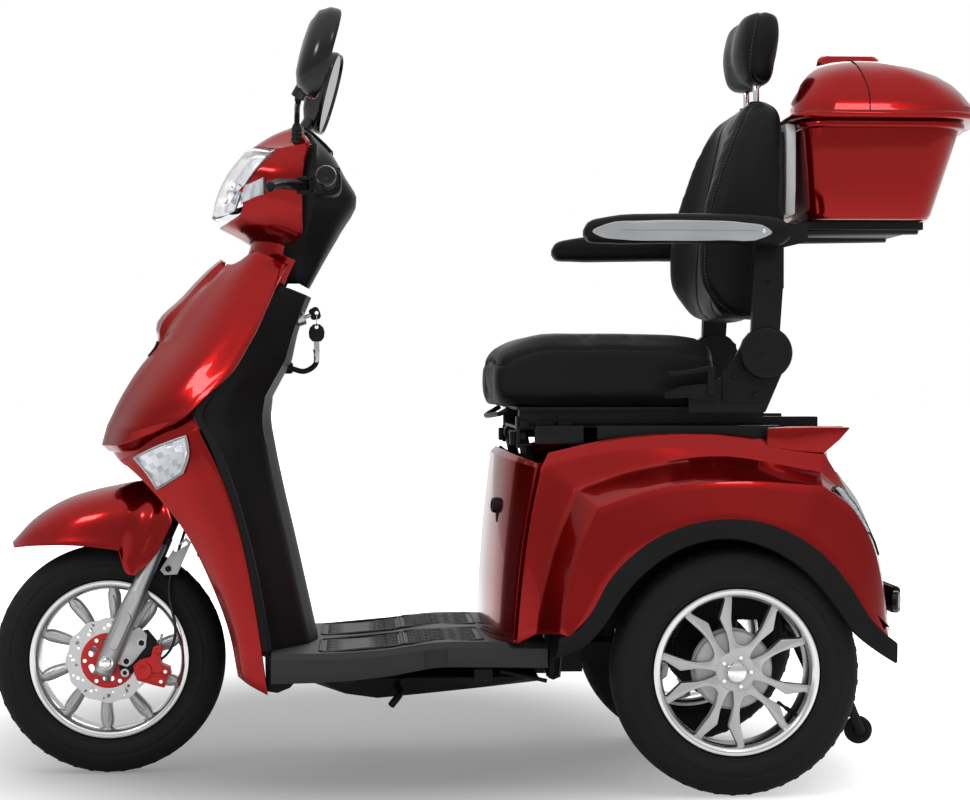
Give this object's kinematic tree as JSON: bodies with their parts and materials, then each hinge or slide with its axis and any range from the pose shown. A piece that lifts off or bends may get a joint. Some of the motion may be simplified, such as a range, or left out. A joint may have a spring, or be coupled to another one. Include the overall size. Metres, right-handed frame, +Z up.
{
  "type": "mobility scooter",
  "caption": "Three-wheeled mobility scooter with red body panels, sprung front fork and rear axle, sliding reclining seat with armrests and headrest, and a lidded luggage box.",
  "frame": {"origin": "on the ground under the middle of the scooter", "axes": "+X backwards along the scooter, so it faces -X; +Y to the rider's right; +Z up"},
  "size_m": [1.7965, 0.71, 1.39],
  "materials": {
    "anti_tip_wheel_left": "black rubber",
    "anti_tip_wheel_right": "black rubber",
    "arch_trim_left": "matte black moulded plastic",
    "arch_trim_right": "matte black moulded plastic",
    "armrest_left": "matte black moulded plastic",
    "armrest_right": "matte black moulded plastic",
    "backrest_cushion": "black vinyl over foam",
    "backrest_frame": "satin black painted steel",
    "bag_hook": "matte black moulded plastic",
    "battery_cover": "metallic red gloss paint on moulded plastic",
    "battery_pack": "matte black moulded plastic",
    "box_lid": "metallic red gloss paint on moulded plastic",
    "brake_caliper": "red painted caliper",
    "brake_disc": "ground steel",
    "brake_lever_left": "satin black painted steel",
    "brake_lever_right": "satin black painted steel",
    "dash_cover": "matte black moulded plastic",
    "fairing_left": "metallic red gloss paint on moulded plastic",
    "fairing_right": "metallic red gloss paint on moulded plastic",
    "floor_board": "dark grey textured plastic",
    "fork_legs": "polished cast aluminium",
    "front_cowl": "metallic red gloss paint on moulded plastic",
    "front_fender": "metallic red gloss paint on moulded plastic",
    "front_rim": "polished cast aluminium",
    "front_tyre": "black tyre rubber",
    "grip_left": "black rubber",
    "handlebar": "matte black moulded plastic",
    "head_cowl": "metallic red gloss paint on moulded plastic",
    "headlight": "clear moulded lens",
    "headrest": "black vinyl over foam",
    "ignition_key": "matte black moulded plastic",
    "indicator_left": "clear moulded lens",
    "indicator_right": "clear moulded lens",
    "leg_shield": "matte black moulded plastic",
    "main_frame": "satin black painted steel",
    "mirror_arm_left": "satin black painted steel",
    "mirror_arm_right": "satin black painted steel",
    "mirror_left": "gloss black moulded plastic",
    "mirror_right": "gloss black moulded plastic",
    "rear_bumper": "matte black moulded plastic",
    "rear_rim_left": "polished cast aluminium",
    "rear_rim_right": "polished cast aluminium",
    "rear_tyre_left": "black tyre rubber",
    "rear_tyre_right": "black tyre rubber",
    "recline_lever": "dark grey textured plastic",
    "seat_base": "satin black painted steel",
    "seat_cushion": "black vinyl over foam",
    "seat_slider": "satin black painted steel",
    "shock_left": "satin black painted steel",
    "shock_right": "satin black painted steel",
    "side_panel_left": "metallic red gloss paint on moulded plastic",
    "side_panel_right": "metallic red gloss paint on moulded plastic",
    "spare_key": "matte black moulded plastic",
    "steering_stem": "satin black painted steel",
    "swing_arm": "satin black painted steel",
    "tail_lamp_left": "red and clear moulded lamp lens",
    "tail_lamp_right": "red and clear moulded lamp lens",
    "tail_panel": "metallic red gloss paint on moulded plastic",
    "throttle_grip": "black rubber",
    "top_box": "metallic red gloss paint on moulded plastic"
  },
  "bodies": {
    "chassis": {"main_frame": "main_frame", "front_cowl": "front_cowl", "leg_shield": "leg_shield", "side_panel_left": "side_panel_left", "side_panel_right": "side_panel_right", "indicator_left": "indicator_left", "indicator_right": "indicator_right", "floor_board": "floor_board", "battery_cover": "battery_cover", "fairing_left": "fairing_left", "fairing_right": "fairing_right", "tail_panel": "tail_panel", "arch_trim_left": "arch_trim_left", "arch_trim_right": "arch_trim_right", "tail_lamp_left": "tail_lamp_left", "tail_lamp_right": "tail_lamp_right", "rear_bumper": "rear_bumper", "battery_pack": "battery_pack", "bag_hook": "bag_hook", "shock_left": "shock_left", "shock_right": "shock_right"},
    "ignition_key": {"ignition_key": "ignition_key"},
    "spare_key": {"spare_key": "spare_key"},
    "steering": {"steering_stem": "steering_stem", "handlebar": "handlebar", "head_cowl": "head_cowl", "headlight": "headlight", "dash_cover": "dash_cover", "grip_left": "grip_left", "mirror_arm_left": "mirror_arm_left", "mirror_arm_right": "mirror_arm_right"},
    "throttle": {"throttle_grip": "throttle_grip"},
    "brake_lever_left": {"brake_lever_left": "brake_lever_left"},
    "brake_lever_right": {"brake_lever_right": "brake_lever_right"},
    "mirror_left": {"mirror_left": "mirror_left"},
    "mirror_right": {"mirror_right": "mirror_right"},
    "fork": {"fork_legs": "fork_legs", "front_fender": "front_fender", "brake_caliper": "brake_caliper"},
    "front_wheel": {"front_tyre": "front_tyre", "front_rim": "front_rim", "brake_disc": "brake_disc"},
    "rear_axle": {"swing_arm": "swing_arm"},
    "rear_wheel_left": {"rear_tyre_left": "rear_tyre_left", "rear_rim_left": "rear_rim_left"},
    "rear_wheel_right": {"rear_tyre_right": "rear_tyre_right", "rear_rim_right": "rear_rim_right"},
    "anti_tip_left": {"anti_tip_wheel_left": "anti_tip_wheel_left"},
    "anti_tip_right": {"anti_tip_wheel_right": "anti_tip_wheel_right"},
    "seat_base": {"seat_base": "seat_base"},
    "seat": {"seat_slider": "seat_slider", "seat_cushion": "seat_cushion"},
    "recline_lever": {"recline_lever": "recline_lever"},
    "backrest": {"backrest_frame": "backrest_frame", "backrest_cushion": "backrest_cushion", "top_box": "top_box"},
    "armrest_left": {"armrest_left": "armrest_left"},
    "armrest_right": {"armrest_right": "armrest_right"},
    "headrest": {"headrest": "headrest"},
    "box_lid": {"box_lid": "box_lid"}
  },
  "joints": [
    {"name": "ignition_turn", "type": "hinge", "parent": "chassis", "child": "ignition_key", "pos_m": [-0.336, -0.03, 0.83], "axis": [0.9404, 0, 0.3401], "range_deg": [0, 60]},
    {"name": "spare_key_swing", "type": "hinge", "parent": "ignition_key", "child": "spare_key", "pos_m": [-0.3144, -0.03, 0.8343], "axis": [0, 1, 0], "range_deg": [-25, 4]},
    {"name": "steering_turn", "type": "hinge", "parent": "chassis", "child": "steering", "pos_m": [-0.4045, 0, 0.865], "axis": [0.3987, 0, 0.9171], "range_deg": [-35, 35]},
    {"name": "throttle_twist", "type": "hinge", "parent": "steering", "child": "throttle", "pos_m": [-0.2931, 0, 1.0609], "axis": [0, 1, 0], "range_deg": [0, 50], "stiffness_Nm_per_rad": 0.5, "springref_deg": -11.46},
    {"name": "brake_squeeze_left", "type": "hinge", "parent": "steering", "child": "brake_lever_left", "pos_m": [-0.3351, -0.182, 1.0569], "axis": [0, 0, 1], "range_deg": [0, 12], "stiffness_Nm_per_rad": 6, "springref_deg": -8.59},
    {"name": "brake_squeeze_right", "type": "hinge", "parent": "steering", "child": "brake_lever_right", "pos_m": [-0.3351, 0.182, 1.0569], "axis": [0, 0, -1], "range_deg": [0, 12], "stiffness_Nm_per_rad": 6, "springref_deg": -8.59},
    {"name": "mirror_turn_left", "type": "hinge", "parent": "steering", "child": "mirror_left", "pos_m": [-0.342, -0.248, 1.196], "axis": [0, 0, 1], "range_deg": [-20, 20]},
    {"name": "mirror_turn_right", "type": "hinge", "parent": "steering", "child": "mirror_right", "pos_m": [-0.342, 0.248, 1.196], "axis": [0, 0, 1], "range_deg": [-20, 20]},
    {"name": "front_suspension", "type": "slide", "parent": "steering", "child": "fork", "axis": [0.3987, 0, 0.9171], "range_m": [0, 0.04], "stiffness_N_per_m": 10000, "springref_m": -0.04},
    {"name": "front_wheel_spin", "type": "hinge", "parent": "fork", "child": "front_wheel", "pos_m": [-0.69, 0, 0.2085], "axis": [0, 1, 0], "continuous": true},
    {"name": "rear_suspension", "type": "hinge", "parent": "chassis", "child": "rear_axle", "pos_m": [0.15, 0, 0.215], "axis": [0, -1, 0], "range_deg": [0, 6], "stiffness_Nm_per_rad": 1500, "springref_deg": -10.31, "deforming": ["shock_left", "shock_right"]},
    {"name": "rear_wheel_spin_left", "type": "hinge", "parent": "rear_axle", "child": "rear_wheel_left", "pos_m": [0.408, -0.285, 0.215], "axis": [0, 1, 0], "continuous": true},
    {"name": "rear_wheel_spin_right", "type": "hinge", "parent": "rear_axle", "child": "rear_wheel_right", "pos_m": [0.408, 0.285, 0.215], "axis": [0, 1, 0], "continuous": true},
    {"name": "anti_tip_spin_left", "type": "hinge", "parent": "chassis", "child": "anti_tip_left", "pos_m": [0.664, -0.125, 0.083], "axis": [0, 1, 0], "continuous": true},
    {"name": "anti_tip_spin_right", "type": "hinge", "parent": "chassis", "child": "anti_tip_right", "pos_m": [0.664, 0.125, 0.083], "axis": [0, 1, 0], "continuous": true},
    {"name": "seat_tip", "type": "hinge", "parent": "chassis", "child": "seat_base", "pos_m": [0.05, 0, 0.617], "axis": [0, -1, 0], "range_deg": [0, 32]},
    {"name": "seat_slide", "type": "slide", "parent": "seat_base", "child": "seat", "axis": [1, 0, 0], "range_m": [-0.04, 0.06]},
    {"name": "recline_release", "type": "hinge", "parent": "seat", "child": "recline_lever", "pos_m": [0.372, -0.246, 0.6954], "axis": [0, 1, 0], "range_deg": [0, 20], "stiffness_Nm_per_rad": 1.5, "springref_deg": -17.19},
    {"name": "backrest_recline", "type": "hinge", "parent": "seat", "child": "backrest", "pos_m": [0.467, 0, 0.763], "axis": [0, 1, 0], "range_deg": [-25, 20]},
    {"name": "armrest_lift_left", "type": "hinge", "parent": "backrest", "child": "armrest_left", "pos_m": [0.472, 0, 0.968], "axis": [0, 1, 0], "range_deg": [0, 85]},
    {"name": "armrest_lift_right", "type": "hinge", "parent": "backrest", "child": "armrest_right", "pos_m": [0.472, 0, 0.968], "axis": [0, 1, 0], "range_deg": [0, 85]},
    {"name": "headrest_height", "type": "slide", "parent": "backrest", "child": "headrest", "axis": [0, 0, 1], "range_m": [0, 0.05]},
    {"name": "lid_open", "type": "hinge", "parent": "backrest", "child": "box_lid", "pos_m": [0.534, 0, 1.186], "axis": [0, -1, 0], "range_deg": [0, 25]}
  ]
}
